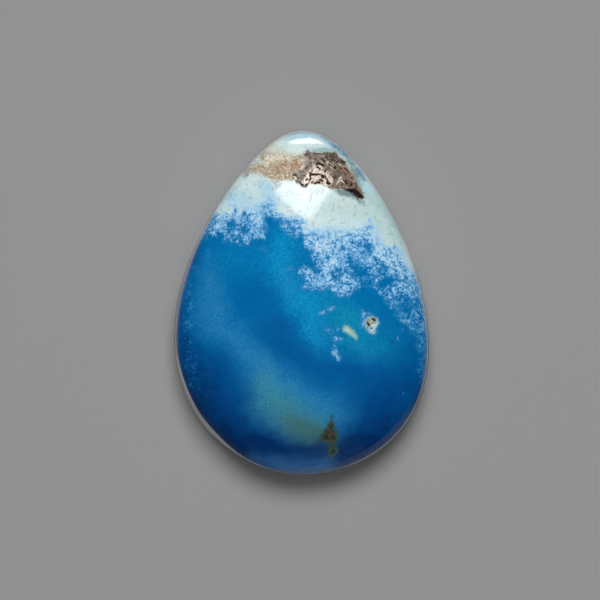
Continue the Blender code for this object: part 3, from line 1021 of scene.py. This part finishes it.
def pale_ground(graph):
    """The chalky pale ground in its broad tints."""
    colour = WHITE
    for name, tint in (("sky", SKY), ("mint", MINT), ("ivory", IVORY), ("teal", TEAL)):
        colour = graph.mix(graph.ease(graph.field(name), 0.05, 0.95), colour, tint)
    fine = graph.noise(0.20, 1.0, 0.5, 52.0)
    patchy = graph.noise(0.7, 2.0, 0.6, 55.0)
    stain = graph.plus(graph.field("stain"), graph.times(fine, graph.ease(graph.field("stain"), 0.0, 0.4)), 0.25)
    colour = graph.mix(graph.ease(stain, 0.10, 1.0), colour, STAIN)
    line_colour = graph.mix(graph.ease(patchy, -0.2, 0.8), TIP_BLUE, TEAL)
    line = graph.times(graph.field("tip_line"), graph.ease(patchy, -0.6, 1.1, 1.0, 0.5))
    colour = graph.mix(line, colour, line_colour)
    grain = graph.times(fine, 0.7)
    grain = graph.plus(grain, graph.noise(0.42, 2.0, 0.5, 57.0), 0.7)
    return graph.mix(graph.ease(grain, 0.0, 1.3, 0.0, 0.65), colour, SHADE_BLUE)


def blue_strokes(graph):
    """Short dark strokes lying in two directions, 1 in their middle."""
    strokes = 0.0
    for lean, seed in ((-55.0, 91.0), (25.0, 95.0)):
        strand = graph.strands(0.34, 0.15, math.radians(lean), seed)
        strokes = graph.math("MAXIMUM", graph.ease(strand, 0.45, 0.85), strokes)
    return strokes


def mottled_ground(graph):
    """Blue and pale ground worked into each other in grains, with blue threads and strokes in the pale."""
    pale = graph.field("pale")
    grain = graph.times(graph.noise(0.18, 1.0, 0.5), 0.72)
    grain = graph.plus(grain, graph.noise(0.45, 1.0, 0.5, 12.0), 0.50)
    threads = graph.ease(graph.cells(0.50, 33.0), 0.02, 0.16, 1.0, 0.0)
    threads = graph.times(threads, graph.ease(graph.noise(1.4, 1.0, 0.5, 37.0), -0.4, 0.5, 0.1, 1.0))
    grain = graph.plus(graph.plus(graph.plus(grain, threads, -0.70), blue_strokes(graph), -1.3), 0.30)
    restless = graph.plus(graph.ease(pale, 0.0, 0.38, 0.05, 0.42), graph.ease(pale, 0.62, 1.0, 0.0, 0.37), -1.0)
    cover = graph.plus(pale, graph.times(grain, restless))
    colour = blue_ground(graph)
    colour = graph.mix(graph.ease(cover, 0.08, 0.30), colour, MID_BLUE)
    colour = graph.mix(graph.ease(cover, 0.30, 0.56), colour, LIGHT_BLUE)
    colour = graph.mix(graph.ease(cover, 0.56, 0.84), colour, PALE_BLUE)
    white = graph.times(graph.ease(cover, 0.78, 0.98), graph.ease(pale, 0.50, 0.88))
    return graph.mix(white, colour, pale_ground(graph))


def tan_matrix(graph, fine, broad):
    """The left part: tan with cream and rust grains and strands."""
    strands = graph.strands(0.6, 0.14, math.radians(-20.0), 27.0)
    colour = graph.mix(graph.ease(graph.plus(graph.field("cream"), broad, 0.40), 0.20, 0.9), TAN, CREAM)
    colour = graph.mix(graph.ease(fine, 0.0, 0.9, 0.0, 0.85), colour, CREAM)
    colour = graph.mix(graph.ease(fine, -0.05, -0.8, 0.0, 0.90), colour, BROWN)
    rust = graph.plus(graph.plus(graph.field("rust"), strands, 0.30), fine, -0.40)
    colour = graph.mix(graph.ease(rust, 0.20, 0.9, 0.0, 0.90), colour, RUST)
    colour = graph.mix(graph.ease(strands, -0.45, -1.1, 0.0, 0.7), colour, CREAM)
    return graph.mix(graph.times(graph.field("pitted"), 0.40), colour, RUST)


def dark_matrix(graph, fine, broad):
    """The right part: brown and grey with pits darkened by painted shade, pale strands and polished cream glints,
    their cream partly a painted highlight.
    """
    strands = graph.strands(0.9, 0.15, math.radians(-38.0), 71.0)
    colour = graph.mix(graph.ease(graph.plus(graph.field("rust"), fine, 0.35), 0.2, 0.9, 0.0, 0.8), BROWN, RUST)
    colour = graph.mix(graph.ease(fine, 0.0, 1.0, 0.0, 0.8), colour, DARK_BROWN)
    colour = graph.mix(graph.ease(fine, -0.2, -1.0, 0.0, 0.5), colour, TAN)
    colour = graph.mix(graph.ease(strands, 0.30, 0.80, 0.0, 0.75), colour, CREAM)
    colour = graph.mix(graph.ease(graph.field("cream"), 0.3, 0.9), colour, CREAM)
    # Cream islands, partly a painted highlight, where the key light's glints fall
    painted_glint_share = graph.ease(graph.plus(graph.field("glints"), broad, 0.12), -0.05, 0.12)
    island_and_painted_highlight = graph.mix(graph.ease(fine, -0.4, 0.9, 0.0, 0.85), ISLAND_CREAM_AND_PAINTED_HIGHLIGHT, ROSE_BROWN)
    colour = graph.mix(painted_glint_share, colour, island_and_painted_highlight)
    colour = graph.mix(graph.ease(graph.plus(graph.field("grey"), fine, 0.08), 0.30, 0.65, 0.0, 0.9), colour, GREY)
    colour = graph.mix(graph.ease(graph.plus(graph.field("shade"), fine, 0.6), 0.3, 0.9), colour, DARK_BROWN)
    # Near-black painted shade in the pits, held back on the grey spots
    clear = graph.ease(graph.field("grey"), 0.3, 0.7, 1.0, 0.15)
    return graph.mix(graph.times(graph.ease(graph.field("pitted"), 0.1, 0.8), clear), colour, PIT_PAINTED_SHADE)


def matrix_ground(graph):
    """The brown matrix: tan on the left, dark and pitted on the right, with a black tail."""
    fine = graph.noise(0.17, 2.0, 0.62, 20.0)
    broad = graph.noise(0.40, 2.0, 0.6, 24.0)
    share = graph.ease(graph.plus(graph.field("dark"), broad, 0.12), -0.12, 0.12)
    colour = graph.mix(share, tan_matrix(graph, fine, broad), dark_matrix(graph, fine, broad))
    tail = graph.ease(graph.plus(graph.field("tail"), fine, 0.11), -0.10, 0.02)
    return graph.mix(tail, colour, graph.mix(graph.ease(fine, 0.35, 1.1, 0.0, 0.6), BLACK, BROWN))


def vug_fills(graph, colour, grain):
    """The round vug with its tan eye and holes darkened with painted shade, and the long vug with its cream heart.
    """
    fine = graph.noise(0.13, 1.0, 0.5, 81.0)
    rim = graph.mix(graph.ease(fine, -0.7, 0.6), VUG_PALE, VUG_BLUE)
    eye = graph.ease(graph.plus(graph.field("vug_eye"), fine, 0.10), -0.08, 0.08)
    fill = graph.mix(eye, rim, graph.mix(graph.ease(fine, -0.6, 0.5), VUG_CREAM, VUG_TAN))
    around = graph.plus(graph.field("round_vug"), fine, 0.13)
    colour = graph.mix(graph.ease(around, -0.12, 0.06), colour, fill)
    # Painted shade in the holes
    colour = graph.mix(graph.field("holes"), colour, HOLE_PAINTED_SHADE)
    heart = graph.plus(graph.field("long_vug"), fine, 0.09)
    heart_colour = graph.mix(graph.ease(fine, -0.3, 0.9, 0.0, 0.85), VUG_CREAM, VUG_GREEN)
    long_fill = graph.mix(graph.ease(heart, 0.02, 0.20), VUG_GREEN, heart_colour)
    return graph.mix(graph.ease(heart, -0.12, 0.04), colour, long_fill)


def tree(graph, colour, grain):
    """The dark growth near the round end, brown inside and green at its borders."""
    inside = graph.plus(graph.field("tree"), grain, 0.11)
    wood = graph.mix(graph.ease(graph.noise(0.24, 2.0, 0.5, 61.0), -0.3, 0.8), TREE_GREEN, TREE_BROWN)
    wood = graph.mix(graph.ease(inside, 0.0, 0.22), OLIVE_DARK, wood)
    foot = graph.plus(graph.field("foot"), grain, 0.22)
    foot_colour = graph.mix(graph.ease(foot, 0.6, 1.0), FOOT_OLIVE, TREE_GREEN)
    colour = graph.mix(graph.ease(foot, 0.30, 0.62, 0.0, 0.9), colour, foot_colour)
    return graph.mix(graph.ease(inside, -0.17, 0.08, 0.0, 0.95), colour, wood)


def stone_material():
    graph = Graph("turquoise")
    grain = graph.noise(0.16, 2.0, 0.6, 30.0)
    colour = mottled_ground(graph)
    blur = graph.ease(graph.field("blurred"), 0.1, 0.9, 0.09, 0.34)
    band_field = graph.plus(graph.field("band"), grain, 0.11)
    band = graph.ease(band_field, graph.times(blur, -1.0), blur)
    colour = graph.mix(band, colour, matrix_ground(graph))
    colour = graph.mix(graph.times(graph.field("cracks"), 0.6), colour, CRACK)
    marks = graph.ease(graph.plus(graph.field("marks"), grain, 0.12), 0.25, 0.75, 0.0, 0.8)
    colour = graph.mix(marks, colour, DARK_MARK)
    colour = vug_fills(graph, colour, grain)
    colour = tree(graph, colour, grain)
    rim = graph.field("rim")
    girdle = graph.field("girdle")
    # Chalk of the ground girdle, flat and back, and on the dome a painted reflection as a pale veil and line along
    # the edge
    colour = graph.mix(graph.times(rim, 0.92), colour, PALE_CHALK_AND_PAINTED_REFLECTION)

    glints = graph.ease(graph.field("glints"), -0.05, 0.10)
    matrix_extra = graph.ease(glints, 0.0, 1.0, 0.38, 0.05)
    rough = graph.math("MULTIPLY_ADD", matrix_extra, band, POLISHED)
    vugs = graph.math("MAXIMUM", graph.field("round_vug"), graph.field("long_vug"))
    rough = graph.math("MAXIMUM", rough, graph.ease(vugs, -0.05, 0.05, 0.0, 0.5))
    rough = graph.math("MAXIMUM", rough, graph.times(graph.math("MAXIMUM", rim, girdle), 0.5))
    shader = graph.shader
    graph.put(colour, shader.inputs["Base Color"])
    graph.put(rough, shader.inputs["Roughness"])
    shine = graph.ease(graph.field("dull"), 0.0, 0.9, 0.5, 0.03)
    shadowed = graph.math("MAXIMUM", graph.field("pitted"), graph.ease(graph.field("tail"), -0.05, 0.05))
    shine = graph.times(shine, graph.ease(shadowed, 0.2, 0.9, 1.0, 0.1))
    graph.put(shine, shader.inputs["Specular IOR Level"])
    shader.inputs["IOR"].default_value = 1.61
    return graph.material


def stone(mesh):
    relieved(mesh)
    stored(mesh, pattern_fields(mesh))
    mesh.shade_smooth()
    mesh.set_sharp_from_angle(angle=SHARP_ANGLE)
    piece = bpy.data.objects.new("polished_stone", mesh)
    bpy.context.scene.collection.objects.link(piece)
    mesh.materials.append(stone_material())
    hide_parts("cabochon")
    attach(piece, "root")
    return piece


# The studio

FLOOR_SIZE = 6.0
LIGHT_DISTANCE = 2.4

# Highlights on the dome, by the places where the outline of each softbox is mirrored
KEY_MARKS = ((0.25, 11.7), (2.45, 9.0), (0.80, 6.70), (0.0, 6.60), (-2.2, 8.7))
KEY_RADIANCE = 6.2
KEY_EDGE_SHARE = 0.6
KEY_HIDDEN_RADIANCE = 6.6
TIP_MARKS = ((-1.1, 12.55), (-0.5, 12.82), (0.6, 12.9), (1.4, 12.75), (1.7, 12.5), (0.6, 12.48), (-0.5, 12.42))
TIP_RADIANCE = 7.4
FRONT_AZIMUTHS = (150.0, 215.0)
FRONT_ZENITHS = (68.0, 88.0)
FRONT_RADIANCE = 0.10
MARKS_PER_EDGE = 4
FILL_ZENITH = math.radians(15.0)
FILL_RADIUS = 1.2
FILL_RADIANCE = 1.0
WORLD_RADIANCE = 0.012
RINGS_OF_GLOW = 5
PANEL_STEPS = 12


def floor():
    bm = bmesh.new()
    bmesh.ops.create_grid(bm, x_segments=1, y_segments=1, size=FLOOR_SIZE / 2.0)
    mesh = bpy.data.meshes.new("floor")
    bm.to_mesh(mesh)
    bm.free()
    plane = bpy.data.objects.new("floor", mesh)
    bpy.context.scene.collection.objects.link(plane)
    material = bpy.data.materials.new("floor")
    material.use_nodes = True
    shader = material.node_tree.nodes["Principled BSDF"]
    shader.inputs["Base Color"].default_value = (0.298, 0.298, 0.298, 1.0)
    shader.inputs["Roughness"].default_value = 0.9
    shader.inputs["Specular IOR Level"].default_value = 0.0
    mesh.materials.append(material)


def mirror_direction(tree, normals, x, y):
    """Where the camera's view of a place on the dome is mirrored to."""
    height = max(spot[0].z for spot in tree.find_n(Vector((x, y, THICKNESS)), 1))
    for _ in range(4):
        near = tree.find_n(Vector((x, y, height)), 4)
        weights = [1.0 / (distance + 0.01 * MM) for _, _, distance in near]
        height = sum(spot.z * weight for (spot, _, _), weight in zip(near, weights)) / sum(weights)
    normal = Vector((0.0, 0.0, 0.0))
    for (_, index, _), weight in zip(near, weights):
        normal += normals[index] * weight
    eye = CAMERA_AIM + Vector((0.0, 0.0, CAMERA_DISTANCE))
    view = (Vector((x, y, height)) - eye).normalized()
    return view.reflect(normal.normalized())


def softbox(name, mesh, marks, radiance, edge_share=1.0, lights_floor=True):
    """A glowing panel whose reflection fills the outline that the marks give on the dome.

    It is brightest in its middle and falls off to a share of that at its edge. Returns its middle and
    the radius of a disk of the same area.
    """
    top = [vertex for vertex in mesh.vertices if vertex.co.z > GIRDLE_HEIGHT]
    tree = KDTree(len(top))
    for index, vertex in enumerate(top):
        tree.insert(vertex.co, index)
    tree.balance()
    normals = [vertex.normal.copy() for vertex in top]
    corners = []
    for start, end in zip(marks, marks[1:] + marks[:1]):
        for step in range(MARKS_PER_EDGE):
            share = step / MARKS_PER_EDGE
            x = start[0] + (end[0] - start[0]) * share
            y = start[1] + (end[1] - start[1]) * share
            corners.append(mirror_direction(tree, normals, x * MM, y * MM) * LIGHT_DISTANCE)
    middle = sum(corners, Vector()) / len(corners)
    count = len(corners)
    points = [middle]
    glows = [1.0]
    for ring in range(1, RINGS_OF_GLOW + 1):
        share = ring / RINGS_OF_GLOW
        points += [middle.lerp(corner, share) for corner in corners]
        glows += [1.0 + (edge_share - 1.0) * share ** 2] * count
    faces = [(0, 1 + step, 1 + (step + 1) % count) for step in range(count)]
    for ring in range(RINGS_OF_GLOW - 1):
        inner = 1 + ring * count
        outer = inner + count
        for step in range(count):
            following = (step + 1) % count
            faces.append((inner + step, outer + step, outer + following, inner + following))
    glowing_panel(name, points, faces, np.array(glows) * radiance, lights_floor)
    sides = [corner - middle for corner in corners]
    area = sum(side.cross(following).length for side, following in zip(sides, sides[1:] + sides[:1])) / 2.0
    return middle, math.sqrt(area / math.pi)


def glowing_panel(name, points, faces, glows, lights_floor):
    panel_mesh = bpy.data.meshes.new(name)
    panel_mesh.from_pydata(points, [], faces)
    stored(panel_mesh, {"glow": glows})
    material = bpy.data.materials.new(name)
    material.use_nodes = True
    nodes = material.node_tree.nodes
    links = material.node_tree.links
    nodes.remove(nodes["Principled BSDF"])
    glow = nodes.new("ShaderNodeEmission")
    strength = nodes.new("ShaderNodeAttribute")
    strength.attribute_name = "glow"
    links.new(strength.outputs["Fac"], glow.inputs["Strength"])
    links.new(glow.outputs[0], nodes["Material Output"].inputs["Surface"])
    panel_mesh.materials.append(material)
    panel = bpy.data.objects.new(name, panel_mesh)
    bpy.context.scene.collection.objects.link(panel)
    panel.visible_camera = False
    panel.visible_diffuse = lights_floor


def direction(azimuth, zenith):
    """A unit vector. Azimuth 0 is toward +Y and 90 degrees toward +X; zenith 0 is straight up."""
    level = math.sin(zenith)
    return Vector((level * math.sin(azimuth), level * math.cos(azimuth), math.cos(zenith)))


def low_panel(name, azimuths, zeniths, radiance):
    """A dim curved panel near the horizon, given by the span of its directions in degrees."""
    turns = np.radians(np.linspace(*azimuths, PANEL_STEPS + 1))
    points = []
    for zenith in np.radians(zeniths):
        points += [direction(turn, zenith) * LIGHT_DISTANCE for turn in turns]
    faces = []
    for step in range(PANEL_STEPS):
        upper = step + PANEL_STEPS + 1
        faces.append((step, step + 1, upper + 1, upper))
    glowing_panel(name, points, faces, np.full(len(points), radiance), True)


def hidden_light(name, place, radius, radiance):
    """A round light that lights the stone and the floor but has no reflection of its own."""
    light = bpy.data.lights.new(name, "AREA")
    light.shape = "DISK"
    light.size = 2.0 * radius
    light.energy = radiance * math.pi * math.pi * radius ** 2
    lamp = bpy.data.objects.new(name, light)
    bpy.context.scene.collection.objects.link(lamp)
    lamp.location = place
    lamp.rotation_mode = "QUATERNION"
    lamp.rotation_quaternion = place.to_track_quat("Z", "Y")
    lamp.visible_camera = False
    lamp.visible_glossy = False


def studio(mesh):
    middle, radius = softbox("key_panel", mesh, KEY_MARKS, KEY_RADIANCE, KEY_EDGE_SHARE)
    hidden_light("key", middle * 0.98, radius, KEY_HIDDEN_RADIANCE)
    softbox("tip_panel", mesh, TIP_MARKS, TIP_RADIANCE, 1.0, False)
    low_panel("front_panel", FRONT_AZIMUTHS, FRONT_ZENITHS, FRONT_RADIANCE)
    hidden_light("fill", direction(math.pi, FILL_ZENITH) * LIGHT_DISTANCE, FILL_RADIUS, FILL_RADIANCE)
    world = bpy.data.worlds.new("studio")
    bpy.context.scene.world = world
    world.use_nodes = True
    background = world.node_tree.nodes["Background"]
    background.inputs["Color"].default_value = (1.0, 1.0, 1.0, 1.0)
    background.inputs["Strength"].default_value = WORLD_RADIANCE


def camera():
    data = bpy.data.cameras.new("camera")
    data.sensor_width = SENSOR_WIDTH
    frame_width = FRAME_PIXELS / PIXELS_PER_MM * MM
    data.lens = SENSOR_WIDTH * CAMERA_DISTANCE / frame_width
    data.clip_end = 20.0
    eye = bpy.data.objects.new("camera", data)
    eye.location = CAMERA_AIM + Vector((0.0, 0.0, CAMERA_DISTANCE))
    bpy.context.scene.collection.objects.link(eye)
    bpy.context.scene.camera = eye


noise.seed_set(WANDER_SEED)
camera()
stone_mesh = smooth_stone()
studio(stone_mesh)
stone(stone_mesh)
floor()
bpy.context.scene.view_settings.view_transform = "Standard"
